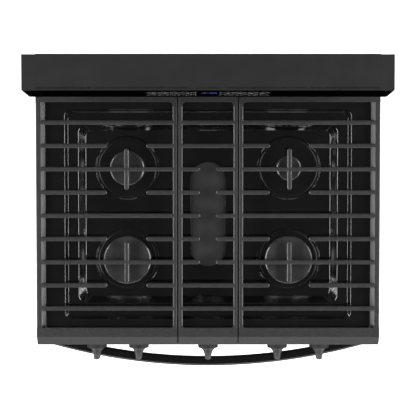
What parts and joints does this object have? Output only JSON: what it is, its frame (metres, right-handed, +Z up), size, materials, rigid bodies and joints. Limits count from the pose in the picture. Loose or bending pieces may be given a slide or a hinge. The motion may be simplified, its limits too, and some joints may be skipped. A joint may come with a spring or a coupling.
{
  "type": "freestanding gas range",
  "caption": "Black freestanding kitchen range with sealed gas burners under cast grates, a bottom-hinged oven door, a storage drawer and a rear control console.",
  "frame": {"origin": "middle of the footprint, on the floor that the levelling feet stand on", "axes": "+Z up, -Y towards the user, +X to the right as the user sees it"},
  "size_m": [0.761, 0.7069, 1.191],
  "materials": {
    "side_panel_paint": "satin black paint",
    "galvanised_steel": "galvanised",
    "frame_enamel": "gloss enamel",
    "oven_enamel": "speckled porcelain enamel",
    "glass_wool": "loose glass wool blanket",
    "rack_chrome": "bright plated wire",
    "burner_steel": "aluminised, heat tinted",
    "lamp_glass": "clear",
    "gasket_braid": "woven glass fibre",
    "zinc_steel": "zinc plated",
    "leg_plastic": "moulded",
    "regulator_metal": "die cast",
    "inlet_plastic": "moulded",
    "cooktop_enamel": "gloss porcelain enamel",
    "control_paint": "satin",
    "pipe_steel": "mill finish",
    "valve_brass": "machined",
    "bezel_plastic": "moulded",
    "tube_aluminium": "drawn tube",
    "burner_aluminium": "cast",
    "igniter_ceramic": "matt",
    "console_paint": "satin black paint",
    "console_end_paint": "satin dark grey",
    "black_glass": "gloss black, back printed",
    "door_paint": "gloss black paint",
    "oven_window_glass": "tinted",
    "handle_metal": "satin dark grey",
    "drawer_steel": "plain sheet",
    "grate_iron": "matt porcelain over cast iron",
    "cap_enamel": "matt enamel",
    "knob_plastic": "satin metallic"
  },
  "bodies": {
    "cabinet": {"side_panel_left": "side_panel_paint", "side_panel_right": "side_panel_paint", "rear_panel": "galvanised_steel", "base_frame": "galvanised_steel", "front_frame": "frame_enamel", "oven_liner": "oven_enamel", "oven_insulation": "glass_wool", "rack_guides": "rack_chrome", "oven_floor": "oven_enamel", "bake_burner": "burner_steel", "broil_burner": "burner_steel", "oven_lamp": "lamp_glass", "door_gasket": "gasket_braid", "hinge_arms": "zinc_steel", "drawer_rails": "zinc_steel", "levelling_legs": "leg_plastic", "cabinet_screws": "zinc_steel", "gas_regulator": "regulator_metal", "cord_inlet": "inlet_plastic", "cooktop_pan": "cooktop_enamel", "manifold_panel": "control_paint", "gas_manifold": "pipe_steel", "gas_valves": "valve_brass", "knob_bezels": "bezel_plastic", "burner_tubes": "tube_aluminium", "burner_heads": "burner_aluminium", "burner_igniters": "igniter_ceramic", "console_housing": "console_paint", "console_end_caps": "console_end_paint", "control_glass": "black_glass"},
    "oven_door": {"door_panel": "door_paint", "door_glass": "black_glass", "door_liner": "oven_enamel", "inner_glass": "oven_window_glass", "door_handle": "handle_metal", "handle_screws": "zinc_steel", "hinge_channels": "zinc_steel"},
    "storage_drawer": {"drawer_front": "door_paint", "drawer_box": "drawer_steel", "drawer_runners": "zinc_steel"},
    "grate_left_body": {"grate_left": "grate_iron"},
    "grate_centre_body": {"grate_centre": "grate_iron"},
    "grate_right_body": {"grate_right": "grate_iron"},
    "cap_left_front_body": {"cap_left_front": "cap_enamel"},
    "cap_left_rear_body": {"cap_left_rear": "cap_enamel"},
    "cap_centre_body": {"cap_centre": "cap_enamel"},
    "cap_right_rear_body": {"cap_right_rear": "cap_enamel"},
    "cap_right_front_body": {"cap_right_front": "cap_enamel"},
    "knob_left_front_body": {"knob_left_front": "knob_plastic"},
    "knob_left_rear_body": {"knob_left_rear": "knob_plastic"},
    "knob_centre_body": {"knob_centre": "knob_plastic"},
    "knob_right_rear_body": {"knob_right_rear": "knob_plastic"},
    "knob_right_front_body": {"knob_right_front": "knob_plastic"},
    "stem_left_front_body": {"stem_left_front": "valve_brass"},
    "stem_left_rear_body": {"stem_left_rear": "valve_brass"},
    "stem_centre_body": {"stem_centre": "valve_brass"},
    "stem_right_rear_body": {"stem_right_rear": "valve_brass"},
    "stem_right_front_body": {"stem_right_front": "valve_brass"},
    "rack_lower_body": {"rack_lower": "rack_chrome"},
    "rack_upper_body": {"rack_upper": "rack_chrome"}
  },
  "joints": [
    {"name": "door_hinge", "type": "hinge", "parent": "cabinet", "child": "oven_door", "pos_m": [0, -0.278, 0.262], "axis": [1, 0, 0], "range_deg": [0, 90]},
    {"name": "drawer_slide", "type": "slide", "parent": "cabinet", "child": "storage_drawer", "axis": [0, -1, 0], "range_m": [0, 0.4]},
    {"name": "grate_left_lift", "type": "slide", "parent": "cabinet", "child": "grate_left_body", "axis": [0, 0, 1], "range_m": [0, 0.09]},
    {"name": "grate_centre_lift", "type": "slide", "parent": "cabinet", "child": "grate_centre_body", "axis": [0, 0, 1], "range_m": [0, 0.09]},
    {"name": "grate_right_lift", "type": "slide", "parent": "cabinet", "child": "grate_right_body", "axis": [0, 0, 1], "range_m": [0, 0.09]},
    {"name": "cap_left_front_lift", "type": "slide", "parent": "cabinet", "child": "cap_left_front_body", "axis": [0, 0, 1], "range_m": [0, 0.007]},
    {"name": "cap_left_rear_lift", "type": "slide", "parent": "cabinet", "child": "cap_left_rear_body", "axis": [0, 0, 1], "range_m": [0, 0.007]},
    {"name": "cap_centre_lift", "type": "slide", "parent": "cabinet", "child": "cap_centre_body", "axis": [0, 0, 1], "range_m": [0, 0.007]},
    {"name": "cap_right_rear_lift", "type": "slide", "parent": "cabinet", "child": "cap_right_rear_body", "axis": [0, 0, 1], "range_m": [0, 0.007]},
    {"name": "cap_right_front_lift", "type": "slide", "parent": "cabinet", "child": "cap_right_front_body", "axis": [0, 0, 1], "range_m": [0, 0.007]},
    {"name": "knob_left_front_push", "type": "slide", "parent": "cabinet", "child": "stem_left_front_body", "axis": [0, 1, 0], "range_m": [0, 0.003], "stiffness_N_per_m": 1500, "springref_m": -0.002},
    {"name": "knob_left_front_turn", "type": "hinge", "parent": "stem_left_front_body", "child": "knob_left_front_body", "pos_m": [-0.2528, -0.3, 0.845], "axis": [0, -1, 0], "range_deg": [0, 230]},
    {"name": "knob_left_rear_push", "type": "slide", "parent": "cabinet", "child": "stem_left_rear_body", "axis": [0, 1, 0], "range_m": [0, 0.003], "stiffness_N_per_m": 1500, "springref_m": -0.002},
    {"name": "knob_left_rear_turn", "type": "hinge", "parent": "stem_left_rear_body", "child": "knob_left_rear_body", "pos_m": [-0.1574, -0.3, 0.845], "axis": [0, -1, 0], "range_deg": [0, 230]},
    {"name": "knob_centre_push", "type": "slide", "parent": "cabinet", "child": "stem_centre_body", "axis": [0, 1, 0], "range_m": [0, 0.003], "stiffness_N_per_m": 1500, "springref_m": -0.002},
    {"name": "knob_centre_turn", "type": "hinge", "parent": "stem_centre_body", "child": "knob_centre_body", "pos_m": [0, -0.3, 0.845], "axis": [0, -1, 0], "range_deg": [0, 230]},
    {"name": "knob_right_rear_push", "type": "slide", "parent": "cabinet", "child": "stem_right_rear_body", "axis": [0, 1, 0], "range_m": [0, 0.003], "stiffness_N_per_m": 1500, "springref_m": -0.002},
    {"name": "knob_right_rear_turn", "type": "hinge", "parent": "stem_right_rear_body", "child": "knob_right_rear_body", "pos_m": [0.1574, -0.3, 0.845], "axis": [0, -1, 0], "range_deg": [0, 230]},
    {"name": "knob_right_front_push", "type": "slide", "parent": "cabinet", "child": "stem_right_front_body", "axis": [0, 1, 0], "range_m": [0, 0.003], "stiffness_N_per_m": 1500, "springref_m": -0.002},
    {"name": "knob_right_front_turn", "type": "hinge", "parent": "stem_right_front_body", "child": "knob_right_front_body", "pos_m": [0.2528, -0.3, 0.845], "axis": [0, -1, 0], "range_deg": [0, 230]},
    {"name": "rack_lower_slide", "type": "slide", "parent": "cabinet", "child": "rack_lower_body", "axis": [0, -1, 0], "range_m": [0, 0.03]},
    {"name": "rack_upper_slide", "type": "slide", "parent": "cabinet", "child": "rack_upper_body", "axis": [0, -1, 0], "range_m": [0, 0.03]}
  ]
}
